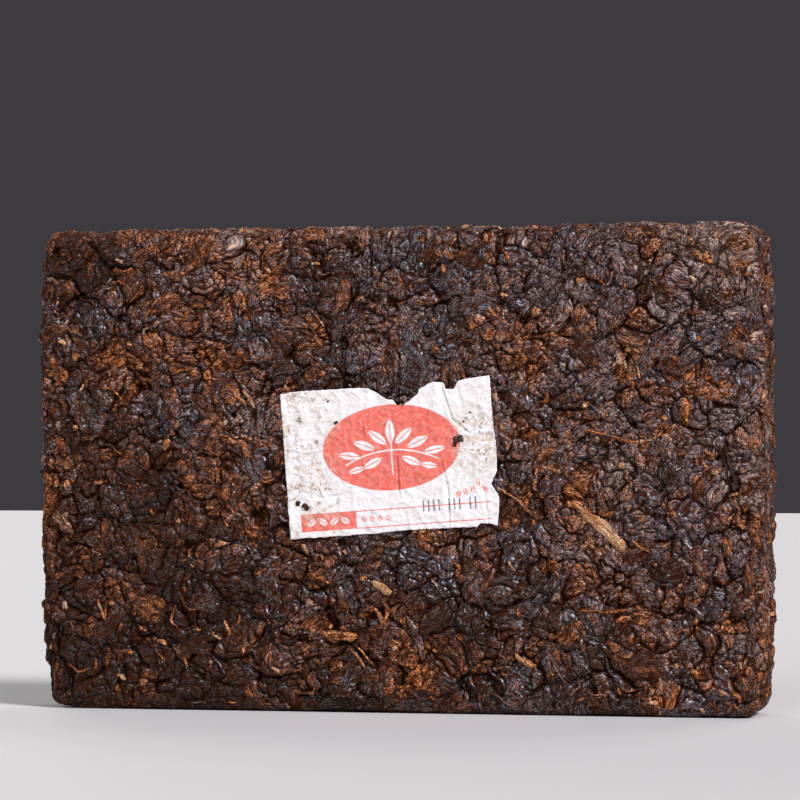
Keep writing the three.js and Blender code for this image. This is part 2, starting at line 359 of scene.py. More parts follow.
# Corners where the brick has worn away: place, depth and reach
WORN_CORNERS = [((-90, 53), 1.2, 7), ((90, 50), 0.9, 7), ((-90, -53), 1.3, 7), ((90, -53), 1.0, 6)]
# Small holes in the front: place and radius
PITS = [
    ((-48.2, 34.3), 0.8), ((-50.2, 28.6), 0.6), ((-60.8, 0.5), 0.6), ((-54.6, -0.5), 0.5),
    ((-53.6, -4.1), 0.6), ((-40.0, 13.3), 0.6),
]


def eased(share):
    """From 0 to 1 with a soft start and end."""
    share = np.clip(share, 0, 1)
    return share * share * (3 - 2 * share)


def smooth_least(a, b, blend):
    """The lesser of two values, rounded off where they meet."""
    return -blend * np.logaddexp(-a / blend, -b / blend)


def within_reach(points, place, reach, power=2):
    """How near points are to a place of the front: 1 on it, and 0 well past its reach."""
    away = np.linalg.norm((points[..., [0, 2]] - place) / reach, axis=-1)
    return np.exp(-away ** power)


def mould_wall(points, outward):
    """The height to which the mould has pressed the leaves, a little uneven except underneath."""
    ripple = 0.08 * np.sin(points[..., 0] / 3.1 + points[..., 2] / 4.3) * np.sin(points[..., 2] / 2.7)
    return np.where(outward[..., 2] < UNDERNEATH, -0.02, RAISED + 0.1 + ripple)


def tucked(height, points, outward, clearance):
    """Heights taken down behind the ticket where they would stand through it."""
    share = under_ticket(points, outward)
    behind = paper_height(ticket_place(points)) - clearance
    return height + share * (np.minimum(height, behind) - height)


def ground(points, outward):
    """The lumps that the leaves form: their height, what was drawn for them, the way from their middles,
    the distance to their edges, and the places that they were found at."""
    bent = points + 2.4 * FLOW(points / 8.5) + 0.6 * RIPPLES(points / 2.3)
    drawn, way, edge = LEAF_LUMPS.nearest(bent)
    height = RAISED + LEAF_LUMPS.height(drawn, way) - RELIEF_SHARE * relief_depth(points, outward)
    return height, drawn, way, edge, bent


def calmed(height, points, outward):
    """Heights brought nearer to the wall along the edges of the brick, and lower at its worn corners."""
    at_edge = eased((1 - np.abs(outward).max(-1)) / 0.2)
    worn = sum(depth * within_reach(points, place, reach) for place, depth, reach in WORN_CORNERS)
    return RAISED - EDGE_DROP * at_edge + (height - RAISED) * (1 - EDGE_CALM * at_edge) - worn


def in_pits(points, outward):
    """1 in the small holes of the front and 0 beside them."""
    share = sum(within_reach(points, place, radius, power=4) for place, radius in PITS)
    return share * (outward[..., 1] < FACING_FRONT)


def place_look(points, outward):
    """How much paler the leaves of the front are at each point, and how much glossier, with more painted
    sheen.
    """
    paler = gloss_and_painted_sheen = 0
    for place, reach, more_pale, more_gloss_and_sheen in TONED_PLACES:
        share = within_reach(points, place, reach)
        paler = paler + more_pale * share
        gloss_and_painted_sheen = gloss_and_painted_sheen + more_gloss_and_sheen * share
    on_front = outward[..., 1] < 0
    return paler * on_front, gloss_and_painted_sheen * on_front


def pressed_look(points, outward, drawn, small):
    """The tone and gloss of the pressed leaves. The brick is paler to the right, to the top and on its sides
    as painted light, and darker towards the bottom as painted shade; its gloss, which brings painted sheen,
    rises to the right and top. It is paler and glossier in broad patches and in places of note. Each lump has
    its own look besides."""
    paler, gloss_and_painted_sheen = place_look(points, outward)
    to_right = points[..., 0] / HALF[0]
    to_top = (points[..., 2] / HALF[2]) ** 3
    on_side = np.abs(outward[..., 0])
    # Painted light and shade: paler to the right, to the top and on the sides, darker towards the bottom
    tone = -0.03 + 0.11 * to_right + 0.16 * to_top + 0.1 * on_side + 0.4 * PATCHES(points / 19) + paler
    # The gloss, and with it the sheen painted into the colour, rises to the right and top
    gloss = 0.13 + 0.16 * to_right + 0.2 * to_top - 0.1 * on_side + 0.16 * PATCHES(points / 12 + 40) + gloss_and_painted_sheen
    own_tone = 0.6 * LEAF_LUMPS.tone[drawn] + 0.5 * SMALL_LUMPS.tone[small]
    palest = 0.62 + 0.2 * np.clip(paler - 0.4, 0, 0.8)
    tone = smooth_least(tone + own_tone - 0.5 * np.clip(own_tone - 0.5, 0, None), palest, 0.06)
    own_gloss = 0.55 * LEAF_LUMPS.gloss[drawn] + 0.35 * SMALL_LUMPS.gloss[small]
    return tone, gloss + own_gloss + 0.1 * (tone - 0.3)


def pressed_relief(points, outward):
    """The height of the pressed mass, with places on its leaves and their looks."""
    height, drawn, way, edge, bent = ground(points, outward)
    small, small_way, small_edge = SMALL_LUMPS.nearest(bent)
    openness = eased(0.5 + 1.2 * PATCHES(points / 5))
    height = height - (0.2 + 0.2 * openness) * (1 - eased(edge / SHOULDER_WIDTH))
    height = height + SMALL_LUMPS.height(small, small_way)
    height = height - 0.2 * (1 - eased(small_edge / SMALL_SHOULDER_WIDTH))
    height = smooth_least(height, mould_wall(points, outward), 0.14)
    along, across = LEAF_LUMPS.lie(drawn, way, outward)
    salt = 7.7 * drawn + 3.1 * small
    crepe = CREPE(np.stack([along / LEAF_LUMPS.fibre[drawn], across / WRINKLE_WIDTH, salt], -1))
    ridge = np.clip(np.abs(crepe) / 0.45, 0, 1) ** 0.7
    rough = 0.6 * LEAF_LUMPS.rough[drawn] + 0.4 * SMALL_LUMPS.rough[small]
    height = height - (0.05 + 0.42 * rough) * (1 - ridge)
    crevice = (0.25 + 0.65 * openness) * np.exp(-(edge / CREVICE_WIDTH) ** 2)
    crevice = np.maximum(crevice, 0.45 * np.exp(-(small_edge / SMALL_CREVICE_WIDTH) ** 2))
    pit = in_pits(points, outward)
    height = height - CREVICE_DEPTH * crevice - PIT_DEPTH * pit
    flattened = eased(-2.5 * outward[..., 2] - 1)
    height = height + flattened * (UNDERSIDE_RELIEF * np.tanh(height / UNDERSIDE_RELIEF) - height)
    height = calmed(tucked(height, points, outward, PRESSED_CLEARANCE), points, outward)
    tone, gloss = pressed_look(points, outward, drawn, small)
    # The ridge is taken to 0 in crevices and pits, where the material paints shade
    ridge = ridge * (1 - crevice) * (1 - pit).clip(0)
    return height, np.stack([along, across, salt], -1), np.stack([tone, gloss, ridge], -1)


# ---------------------------------------------------------------- making pieces


def flat_sheet(name, columns, rows):
    """A flat grid, selected, and its points across and up, from -0.5 to 0.5."""
    bpy.ops.object.select_all(action="DESELECT")
    bpy.ops.mesh.primitive_grid_add(x_subdivisions=columns, y_subdivisions=rows, size=1)
    sheet = bpy.context.object
    sheet.name = sheet.data.name = name
    found = np.empty(len(sheet.data.vertices) * 3, np.float32)
    sheet.data.vertices.foreach_get("co", found)
    return sheet, found.reshape(-1, 3)[:, :2]


def set_points(mesh, points):
    mesh.vertices.foreach_set("co", ((points + LIFT) * MM).astype(np.float32).ravel())


def set_values(mesh, **values):
    """Gives the mesh named values at each point, for its material."""
    for name, found in values.items():
        made = mesh.attributes.new(name, "FLOAT_VECTOR", "POINT")
        made.data.foreach_set("vector", found.astype(np.float32).ravel())


def dress(piece, material, node):
    piece.data.materials.append(material)
    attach(piece, BODY)
    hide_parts(node)


# ---------------------------------------------------------------- the pressed mass

ROUNDED_CORNER = RADII[[0, 2]]
ROUND = math.pi / 2 * math.hypot(RADII[0], RADII[1]) / math.sqrt(2)  # about the length of the rounded edge
SEAM_OVERLAP = 0.3
WIDE, TALL = INNER[[0, 2]] + ROUND + INNER[1] + SEAM_OVERLAP
FRONT_CELL = 0.28
BACK_CELL = 0.55
RIM_INSIDE = (0.9, 0.4, 0.85)  # shares of a piece's rim, for the rim that it has inside the brick


def folded_over(flat, side):
    """Half of the rounded block from places on a sheet folded over it: points and outward directions."""
    middle = INNER[[0, 2]]
    core = np.clip(flat, -middle, middle)
    over = np.abs(flat - core)
    reach = over.max(-1)
    slant = math.pi / 4 * over.min(-1) / np.maximum(reach, 1e-9)
    angle = np.where(over[..., 0] >= over[..., 1], slant, math.pi / 2 - slant)
    way = np.stack([np.cos(angle), np.sin(angle)], -1) * np.sign(flat)
    bend = np.minimum(reach / ROUND, 1) * math.pi / 2
    out = np.sin(bend)[..., None] * way
    down = RADII[1] * (1 - np.cos(bend)) + np.maximum(reach - ROUND, 0)
    edge = core + ROUNDED_CORNER * out
    points = np.stack([edge[..., 0], side * (HALF[1] - down), edge[..., 1]], -1)
    outward = np.stack([out[..., 0], side * np.cos(bend), out[..., 1]], -1) / RADII
    return leaned(points), unit(outward)


def make_pressed(name, side, low, high, cell, material):
    """A closed piece of the pressed mass. It is shut by a cone inside the brick, where nothing shows."""
    middle = (np.array(low) + high) / 2
    size = np.array(high) - low
    piece, found = flat_sheet(name, *np.round(size / cell).astype(int).tolist())
    points, outward = folded_over(middle + found * size * [-side, 1], side)
    height, place, look = pressed_relief(points, outward)
    set_points(piece.data, points + outward * height[:, None])
    set_values(piece.data, leaf_place=place, leaf_look=look)
    bpy.ops.object.shade_smooth()
    bpy.ops.object.mode_set(mode="EDIT")
    bpy.ops.mesh.select_all(action="SELECT")
    bpy.ops.mesh.region_to_loop()
    bpy.ops.mesh.mark_sharp()
    bpy.ops.mesh.extrude_region_move()
    bpy.ops.transform.resize(value=RIM_INSIDE, center_override=tuple(LIFT * MM))
    bpy.ops.mesh.extrude_region_move()
    bpy.ops.mesh.merge(type="CENTER")
    bpy.ops.object.mode_set(mode="OBJECT")
    dress(piece, material, "tea_brick")


# ---------------------------------------------------------------- loose pieces of leaf

SIDE_ANGLE = 0.4 * math.pi  # points across a leaf lie closer together towards its sides


class Kind:
    """How the leaves of one kind are made. Each kind says the rest, and what differs from the values here."""

    wander = 0.0  # how far its leaves sway to both sides
    fibre = 2.4  # length of the wrinkles along them
    bridge = -0.8  # the deepest ground that they follow
    proud = 0.15  # how far they may stand out of the mould's wall
    blended = 0.8  # how much they share in the tone and gloss of their place, with its painted shade and sheen
    on_paper = False  # or on the pressed leaves

    def __init__(self, **values):
        self.__dict__.update(values)


class Leaves:
    """Values of many leaves of one kind, one entry for each leaf."""

    def __init__(self, face, flat, **values):
        self.face = face
        self.flat = flat[:, None, None]
        for name, found in values.items():
            setattr(self, name, found[:, None, None])


def leaves_on(rng, face, kind):
    """Leaves of one kind, even but irregular over a face."""
    spans = np.delete(HALF, FACES[face][0])
    columns, rows = np.maximum(1, np.round(2 * spans / kind.pitch)).astype(int)
    grid = np.stack(np.meshgrid(np.arange(columns), np.arange(rows)), -1).reshape(-1, 2) + 0.5
    grid = grid + rng.uniform(-0.48, 0.48, grid.shape)

    def drawn(low, high):
        return rng.uniform(low, high, len(grid))

    return Leaves(
        face, (grid / [columns, rows] * 2 - 1) * spans, turn=drawn(0, 2 * math.pi),
        length=drawn(*kind.length), width=drawn(*kind.width), top=drawn(*kind.top),
        bend=rng.normal(0, kind.bend, len(grid)), depth=drawn(*kind.wrinkle_depth),
        seed=drawn(0, 1000), tone=drawn(*kind.tone), gloss=drawn(0, 1),
    )


def leaf_shape(leaves, kind):
    """Places along and across every leaf, heights over the ground, ridges, and places in its grain."""
    along_cells, across_cells = kind.cells
    # From -1 to 1 along the leaf and across it
    t = np.linspace(-1, 1, along_cells + 1)[:, None]
    s = np.sin(np.linspace(-1, 1, across_cells + 1) * SIDE_ANGLE) / math.sin(SIDE_ANGLE)
    half_length = leaves.length / 2
    ends = (1 - np.abs(t) ** kind.ends * 0.995) ** (1 / kind.ends)
    lobes = 1 + 0.12 * np.sin(3 * t + leaves.seed) + 0.1 * np.sin(7 * t + 2 * leaves.seed) * np.sign(s)
    uneven = CREPE(np.stack(np.broadcast_arrays(2.2 * t, 3.3 * np.sign(s), 5.1 * leaves.seed), -1))
    lobes = lobes + 0.35 * uneven
    from_middle = s * (leaves.width / 2 * ends * lobes)
    across = from_middle + leaves.bend * half_length * (t * t - 0.4)
    across = across + kind.wander * np.sin(4.2 * t + 3 * leaves.seed)
    along, seed, across = np.broadcast_arrays(half_length * t, leaves.seed, across)
    crepe = CREPE(np.stack([along / kind.fibre, from_middle / kind.crepe, 9.1 * seed], -1))
    # Low ridge values, in the valleys of the wrinkles, get painted shade in the material
    ridge = np.clip(np.abs(crepe) / 0.5, 0, 1) ** 0.8
    fall = kind.fall * (np.abs(s) ** kind.side_round + np.abs(t) ** kind.end_round)
    height = leaves.top - fall - leaves.depth * (1 - ridge)
    return along, across, height, ridge, np.stack([along, from_middle, seed], -1)


def lay_leaves(leaves, kind):
    """The points of the leaves on the brick, with each point's place on its leaf and its look."""
    along, across, height, ridge, place = leaf_shape(leaves, kind)
    points, outward = wrapped(on_face(leaves.face, leaves.flat + turned(along, across, leaves.turn)))
    if kind.on_paper:
        height = height + paper_height(ticket_place(points))
    else:
        height = height + np.maximum(ground(points, outward)[0], kind.bridge)
        proud = kind.proud * (outward[..., 2] > UNDERNEATH)
        height = smooth_least(height, mould_wall(points, outward) + proud, 0.12)
        height = calmed(tucked(height, points, outward, LOOSE_CLEARANCE), points, outward)
    points = points + outward * height[..., None]
    paler, gloss_and_painted_sheen = place_look(points, outward)
    tone = leaves.tone + 0.4 * kind.blended * paler
    gloss = leaves.gloss + kind.blended * gloss_and_painted_sheen
    return points, place, np.stack([tone, gloss, ridge], -1)


def closed_strips(count, rings, around):
    """Faces of many leaves, each a strip of rings closed underneath and at both ends."""
    ring, step = np.meshgrid(np.arange(rings - 1), np.arange(around), indexing="ij")
    after = (step + 1) % around
    sides = np.stack([
        ring * around + step, (ring + 1) * around + step, (ring + 1) * around + after, ring * around + after,
    ], -1).reshape(-1, 4)
    first = np.arange(around)
    last = (rings - 1) * around + first[::-1]
    offset = np.arange(count)[:, None, None] * rings * around
    quads = (sides[None] + offset).reshape(-1, 4)
    caps = (np.stack([first, last])[None] + offset).reshape(-1, around)
    return quads, caps


def mesh_of(name, points, quads, caps):
    """A mesh object from arrays."""
    mesh = bpy.data.meshes.new(name)
    corners = np.concatenate([quads.ravel(), caps.ravel()]).astype(np.int32)
    starts = np.concatenate([
        np.arange(len(quads)) * 4,
        len(quads) * 4 + np.arange(len(caps)) * caps.shape[1],
    ]).astype(np.int32)
    mesh.vertices.add(len(points))
    set_points(mesh, points)
    mesh.loops.add(len(corners))
    mesh.loops.foreach_set("vertex_index", corners)
    mesh.polygons.add(len(starts))
    mesh.polygons.foreach_set("loop_start", starts)
    mesh.polygons.foreach_set("use_smooth", np.ones(len(starts), bool))
    mesh.update(calc_edges=True)
    mesh.validate()
    made = bpy.data.objects.new(name, mesh)
    bpy.context.scene.collection.objects.link(made)
    return made


LEAF_KINDS = {
    "flat_leaves": Kind(
        seed=11, pitch=18.0, cells=(20, 12), length=(7, 13), width=(4, 7), top=(0.0, 0.3),
        bend=0.08, wander=0.2, wrinkle_depth=(0.05, 0.3), crepe=1.0, tone=(0.1, 0.55),
        fall=1.2, side_round=5.0, end_round=6.0, ends=2.6, proud=0.1,
    ),
    "twisted_leaves": Kind(
        seed=13, pitch=11.5, cells=(18, 5), length=(4, 9), width=(0.7, 1.5), top=(0.1, 0.45),
        bend=0.22, wander=0.35, wrinkle_depth=(0.05, 0.2), crepe=0.6, tone=(0.05, 0.6),
        fall=0.9, side_round=2.2, end_round=5.0, ends=3.0,
    ),
    "curled_leaves": Kind(
        seed=12, pitch=15.0, cells=(12, 10), length=(3.5, 7), width=(2.4, 4.5), top=(0.3, 0.8),
        bend=0.15, wander=0.2, wrinkle_depth=(0.15, 0.45), crepe=0.8, tone=(0.0, 0.4),
        fall=1.4, side_round=2.8, end_round=3.2, ends=2.2,
    ),
    "leaf_chips": Kind(
        seed=14, pitch=8.5, cells=(7, 6), length=(1.2, 3.4), width=(0.7, 1.8), top=(0.0, 0.3),
        bend=0.2, wander=0.1, wrinkle_depth=(0.05, 0.3), crepe=0.6, tone=(0.4, 0.92),
        fall=1.0, side_round=4.0, end_round=4.0, ends=3.4, bridge=-1.0, proud=0.05,
    ),
    "leaf_stalks": Kind(
        seed=16, pitch=50.0, cells=(16, 6), length=(5, 10), width=(0.8, 1.3), top=(0.0, 0.3),
        bend=0.12, wander=0.35, wrinkle_depth=(0.02, 0.06), fibre=5.0, crepe=0.4, tone=(0.35, 0.75),
        fall=0.9, side_round=2.0, end_round=7.0, ends=8.0,
    ),
}

# Leaves of note on the front: place across and up, turn in degrees, length, width, bend, top and tone
FRONT_LEAVES = {
    "front_strands": (Kind(
        cells=(26, 8), wander=0.1, wrinkle_depth=0.12, fibre=7.0, crepe=0.4, fall=0.9, side_round=2.0,
        end_round=6.0, ends=4.0, bridge=-0.5, proud=0.3, blended=0,
    ), [
        (47.3, -10.2, -33, 9.0, 1.5, -0.05, 0.45, 0.8), (50.6, -12.6, -38, 13.0, 0.9, -0.1, 0.6, 0.86),
        (48.6, -12.4, -45, 9.5, 1.4, 0.05, 0.5, 0.92), (51.5, -14.7, -46, 11.0, 0.8, -0.1, 0.55, 0.9),
        (50.5, -5.6, -70, 9.8, 1.1, 0.13, 0.5, 0.6), (53.4, 8.0, -14, 15.3, 0.9, 0.03, 0.5, 0.74),
        (63.3, 7.4, 26, 5.9, 0.9, 0.11, 0.5, 0.78), (62.0, 11.6, -57, 6.5, 0.6, 0.17, 0.5, 0.55),
        (29.7, -7.0, -37, 12.2, 0.8, -0.11, 0.45, 0.74), (30.0, -5.2, -56, 5.2, 0.7, 0.08, 0.4, 0.66),
        (51.3, -33.7, 0, 13.2, 1.3, 0.09, 0.5, 0.5), (60.6, -18.4, -33, 5.1, 0.8, 0.05, 0.4, 0.72),
        (41.4, -50.2, -61, 10.8, 1.1, -0.04, 0.5, 0.2), (48.5, -54.5, 14, 8.4, 1.2, -0.11, 0.4, 0.62),
        (5.5, -40.4, -68, 12.0, 1.8, -0.17, 0.5, 0.52), (-2.4, -45.8, -38, 10.7, 1.3, 0.13, 0.45, 0.22),
        (32.4, -45.9, -31, 5.9, 1.3, 0.18, 0.5, 0.86), (-3.1, -36.0, -59, 6.1, 1.0, -0.01, 0.4, 0.68),
        (22.1, -27.9, -127, 12.1, 1.9, -0.18, 0.3, 0.36), (17.7, -55.9, -99, 4.8, 1.3, -0.25, 0.3, 0.6),
        (-73.7, -34.8, -64, 6.5, 0.8, 0.11, 0.4, 0.8), (-51.5, -33.3, -34, 5.5, 0.8, 0.69, 0.4, 0.62),
        (-60.0, -44.3, -50, 7.5, 0.9, -0.03, 0.4, 0.5), (-53.6, -46.0, -56, 6.7, 1.0, -0.16, 0.4, 0.42),
        (-43.8, -47.7, -55, 6.1, 0.9, 0.00, 0.5, 0.15), (-41.8, -38.5, -61, 3.6, 0.9, 0.15, 0.4, 0.8),
        (-56.2, 15.4, -59, 8.8, 1.2, -0.02, 0.4, 0.15), (-38.2, 17.2, -48, 5.6, 0.9, 0.06, 0.4, 0.84),
        (-35.8, 17.1, -53, 5.8, 0.9, -0.03, 0.4, 0.86), (44.5, 40.9, -85, 2.9, 0.6, -0.60, 0.4, 0.82),
        (50.4, 45.4, -41, 4.4, 0.7, -0.15, 0.4, 0.72), (88.4, 53.9, -60, 5.7, 1.4, -0.66, 0.4, 0.82),
        (82.3, 54.6, 41, 6.0, 1.1, -0.12, 0.4, 0.6), (60.0, 23.4, -75, 3.7, 0.9, -0.14, 0.4, 0.86),
        (81.9, 1.3, -75, 12.1, 0.9, 0.01, 0.4, 0.04), (80.8, 1.1, -75, 11.0, 0.8, 0.01, 0.35, 0.06),
        (74.6, 7.0, -33, 6.5, 0.9, 0.21, 0.35, 0.06), (90.3, -3.7, -90, 2.3, 0.8, -0.20, 0.1, 0.84),
        (29.2, -23.2, -57, 3.1, 0.8, 0.02, 0.4, 0.84), (10.4, -27.5, -54, 2.9, 0.5, -0.03, 0.4, 0.82),
        (-8.6, -45.9, -51, 7.0, 0.6, -0.08, 0.35, 0.8), (-6.9, -45.3, -48, 7.0, 0.5, -0.13, 0.35, 0.72),
    ]),
    "front_lumps": (Kind(
        cells=(40, 32), wrinkle_depth=0.6, fibre=1.8, crepe=0.9, fall=1.7, side_round=2.6, end_round=2.8,
        ends=2.1, bridge=-0.1, proud=0.6, blended=0,
    ), [
        (57.0, 22.3, 20, 6.3, 6.3, 0, 0.6, 0.58), (67.0, -24.2, 20, 9.5, 8.0, 0, 0.9, 0.02),
        (78.3, 40.1, -39, 9.0, 6.0, 0, 0.8, 0.03), (67.3, -0.6, -82, 9.0, 5.4, 0, 0.8, 0.05),
        (79.0, 44.1, -98, 7.5, 4.2, 0, 0.5, 0.5), (85.2, 32.0, -34, 9.5, 6.5, 0, 0.4, 0.3),
        (59.6, -36.8, 20, 4.6, 4.4, 0, 0.4, 0.2), (35.1, 37.9, 20, 2.8, 2.3, 0, 0.4, 0.82),
        (76.0, 19.0, 15, 5.2, 3.2, 0, 0.4, 0.8), (-4.1, -23.3, 38, 3.4, 2.5, 0, 0.4, 0.76),
        (85.8, -8.6, 20, 3.4, 3.2, 0, 0.3, 0.4), (61.1, 6.6, 26, 1.8, 1.5, 0, 0.7, 0.96),
    ]),
    "front_flakes": (Kind(
        cells=(18, 14), wrinkle_depth=0.14, fibre=4.0, crepe=0.9, fall=1.2, side_round=5.0, end_round=6.0,
        ends=2.4, bridge=-0.5, proud=0.25, blended=0,
    ), [
        (-2.6, -28.6, -31, 6.2, 2.4, 0, 0.6, 0.98), (51.6, -14.3, -42, 15.5, 3.2, -0.1, 0.45, 1.0),
        (-13.6, -40.4, -2, 9.2, 2.9, 0, 0.5, 0.72), (45.3, 37.3, -113, 6.5, 3.0, 0, 0.3, 0.5),
        (28.2, 44.6, 47, 4.4, 1.9, 0, 0.3, 0.76), (24.3, 37.8, -52, 3.0, 1.6, 0, 0.3, 0.74),
        (27.3, 42.0, -16, 2.2, 1.0, 0, 0.3, 0.86), (42.9, 38.3, -104, 2.3, 1.1, 0, 0.3, 0.86),
        (76.3, 51.0, -97, 2.2, 1.5, 0, 0.3, 0.82), (-84.2, -12.9, -51, 6.8, 3.3, 0, 0.2, 0.68),
        (-62.0, -32.3, -12, 9.5, 4.6, 0, 0.2, 0.46), (71.3, 13.9, -94, 7.4, 2.6, 0, 0.3, 0.68),
        (77.0, 3.6, -34, 3.6, 1.9, 0, 0.3, 0.64), (74.7, 2.2, -81, 3.2, 2.3, 0, 0.3, 0.66),
        (78.2, -0.6, 20, 1.8, 1.5, 0, 0.3, 0.88), (86.5, -4.4, 20, 4.6, 4.4, 0, 0.2, 0.36),
        (83.0, -5.8, 16, 2.0, 0.8, 0, 0.3, 0.86), (86.9, -26.5, -90, 9.0, 4.4, 0, 0.2, 0.3),
        (39.0, 3.6, 20, 11.5, 9.5, 0, 0.1, 0.4), (39.1, -4.2, 28, 7.0, 5.0, 0, 0.1, 0.22),
        (60.5, -46.7, -1, 14.5, 7.5, 0, 0.2, 0.22), (-29.4, -48.7, -31, 2.8, 1.1, 0, 0.4, 0.96),
        (-69.1, -50.9, -39, 2.7, 1.1, 0, 0.4, 0.92), (-63.2, -52.2, 20, 2.0, 1.5, 0, 0.3, 0.78),
        (-46.0, -47.1, 20, 1.1, 0.9, 0, 0.4, 1.0), (-53.9, -12.7, 20, 1.3, 1.1, 0, 0.4, 0.94),
        (0.5, -43.1, 20, 1.6, 1.5, 0, 0.4, 0.96), (56.1, 1.0, 20, 1.9, 1.4, 0, 0.4, 0.88),
        (60.8, -11.7, 20, 1.9, 1.6, 0, 0.4, 0.8), (-34.5, 11.8, 77, 9.0, 4.6, 0, 0.1, 0.24),
        (2.9, -52.9, 20, 3.0, 2.0, 0, 0.2, 0.7), (-7.2, -26.4, 20, 2.0, 1.2, 0, 0.3, 0.8),
        (-12.4, -53.9, 20, 5.2, 3.0, 0, 0.2, 0.14),
    ]),
    "paper_crumbs": (Kind(
        cells=(10, 8), wrinkle_depth=0.12, fibre=1.0, crepe=0.7, fall=0.6, side_round=5.0, end_round=5.0,
        ends=3.2, on_paper=True, blended=0,
    ), [
        (-23.6, -8.3, 80, 1.6, 1.4, 0, 0.35, 0.2), (-21.6, -9.1, -40, 2.3, 1.7, 0, 0.4, 0.15),
        (-14.0, 11.4, 20, 1.3, 0.9, 0, 0.3, 0.2), (-16.0, 16.5, 40, 1.0, 0.5, 0, 0.25, 0.3),
        (16.3, 7.4, 14, 3.0, 2.2, 0, 0.35, 0.2), (15.5, 6.5, 76, 2.6, 1.3, 0, 0.3, 0.15),
        (19.1, 13.8, 20, 0.9, 0.5, 0, 0.25, 0.35), (17.6, 11.6, 60, 0.7, 0.6, 0, 0.25, 0.3),
    ]),
}


def placed_leaves(kind, rows):
    """Leaves of one kind where the rows put them on the front."""
    x, z, turn, length, width, bend, top, tone = np.transpose(rows)
    order = np.arange(len(rows))
    return Leaves(
        "front", np.stack([x, z], -1), turn=np.radians(turn), length=length, width=width, top=top, bend=bend,
        depth=np.full(len(rows), kind.wrinkle_depth), seed=17.3 * order, tone=tone, gloss=order % 5 / 5,
    )


def make_leaves(name, kind, groups, material):
    parts = [lay_leaves(leaves, kind) for leaves in groups]
    points, place, look = (np.concatenate(arrays) for arrays in zip(*parts))
    piece = mesh_of(name, points.reshape(-1, 3), *closed_strips(*points.shape[:3]))
    set_values(piece.data, leaf_place=place, leaf_look=look)
    dress(piece, material, "tea_brick")


# ---------------------------------------------------------------- the paper ticket

EDGE_LIFT = 0.18  # how far the edges of the paper curl up, and over which share of it
EDGE_SHARE = 0.06


def frayed(along, salt):
    """How far an edge of the paper strays, at places along it."""
    places = np.stack([along / 3.4, 0 * along + salt, 0 * along], -1)
    return 0.1 * PAPER_SWELLS(places) + 0.14 * PAPER_SWELLS(4.3 * places)


def torn(share, rise):
    """Places on the ticket's plane, with frayed edges, from shares across it and up it."""
    left = -TICKET_WIDTH / 2 + frayed(rise * TICKET_HEIGHT, 4)
    across = -TICKET_WIDTH / 2 + share * TICKET_WIDTH
    foot = np.interp(across, *np.transpose(WORN_FOOT)) + frayed(across, 9)
    top, _ = ticket_edges(np.stack([across, across], -1))
    up = foot + rise * (top + frayed(across, 13) - foot)
    _, right = ticket_edges(np.stack([across, up], -1))
    right = right + frayed(up, 17)
    return np.stack([left + share * (right - left), up, 0 * rise], -1)


def make_ticket(material):
    ticket, found = flat_sheet("crumpled_ticket", *PAPER_CELLS)
    share, rise = found.T + 0.5
    place = torn(share, rise)
    to_edge = np.min([share, 1 - share, rise, 1 - rise], axis=0)
    lifted = EDGE_LIFT * PAPER_SWELLS(place / 4 + [0, 0, 7]).clip(0)
    height = paper_height(place[:, :2]) + lifted * (1 - eased(to_edge / EDGE_SHARE))
    x, z = (TICKET_CENTRE + turned(place[:, 0], place[:, 1], TICKET_TURN)).T
    set_points(ticket.data, np.stack([x, -HALF[1] - height, z], -1))
    set_values(ticket.data, paper_place=place)
    bpy.ops.object.shade_smooth()
    thicken = ticket.modifiers.new("paper_thickness", "SOLIDIFY")
    thicken.thickness = PAPER_THICKNESS * MM
    thicken.offset = -1
    bpy.ops.object.modifier_apply(modifier=thicken.name)
    dress(ticket, material, "paper_ticket")


# ---------------------------------------------------------------- materials


def operator(operation):
    return lambda *values: maths(operation, *values)


class Value:
    """A value in a material. Sums, products and powers of it become Math nodes."""

    def __init__(self, socket):
        self.socket = socket
        self.tree = socket.id_data

    __add__ = operator("ADD")
    __sub__ = operator("SUBTRACT")
    __mul__ = operator("MULTIPLY")
    __truediv__ = operator("DIVIDE")
    __pow__ = operator("POWER")
    __abs__ = operator("ABSOLUTE")

    def __rsub__(self, other):
        return maths("SUBTRACT", other, self)


def feed(given, node, place):
    """Gives a value, a number or a colour to one socket of a node."""
    if isinstance(given, Value):
        given.tree.links.new(given.socket, node.inputs[place])
    else:
        node.inputs[place].default_value = given


def add_node(tree, kind, inputs, **settings):
    """A new node's values, one for each of its outputs."""
    made = tree.nodes.new(kind)
    for name, setting in settings.items():
        setattr(made, name, setting)
    for place, given in inputs.items():
        feed(given, made, place)
    return [Value(socket) for socket in made.outputs]


def maths(operation, *values, clamp=False):
    tree = next(value.tree for value in values if isinstance(value, Value))
    return add_node(tree, "ShaderNodeMath", dict(enumerate(values)), operation=operation, use_clamp=clamp)[0]


def vector_maths(operation, first, *others):
    inputs = dict(enumerate((first, *others)))
    return add_node(first.tree, "ShaderNodeVectorMath", inputs, operation=operation)[0]


def most(*masks):
    """The greatest of several masks."""
    found = masks[0]
    for mask in masks[1:]:
        found = maths("MAXIMUM", found, mask)
    return found


def ranged(value, low, high, to_low=0.0, to_high=1.0, way="SMOOTHSTEP"):
    """The value taken from one range to another, and held within it."""
    return add_node(value.tree, "ShaderNodeMapRange", {
        "Value": value, "From Min": low, "From Max": high, "To Min": to_low, "To Max": to_high,
    }, interpolation_type=way)[0]


def noise(place, scale, detail=3.0, roughness=0.55, distortion=0.0):
    return add_node(place.tree, "ShaderNodeTexNoise", {
        "Vector": place, "Scale": scale, "Detail": detail, "Roughness": roughness, "Distortion": distortion,
    })[0]


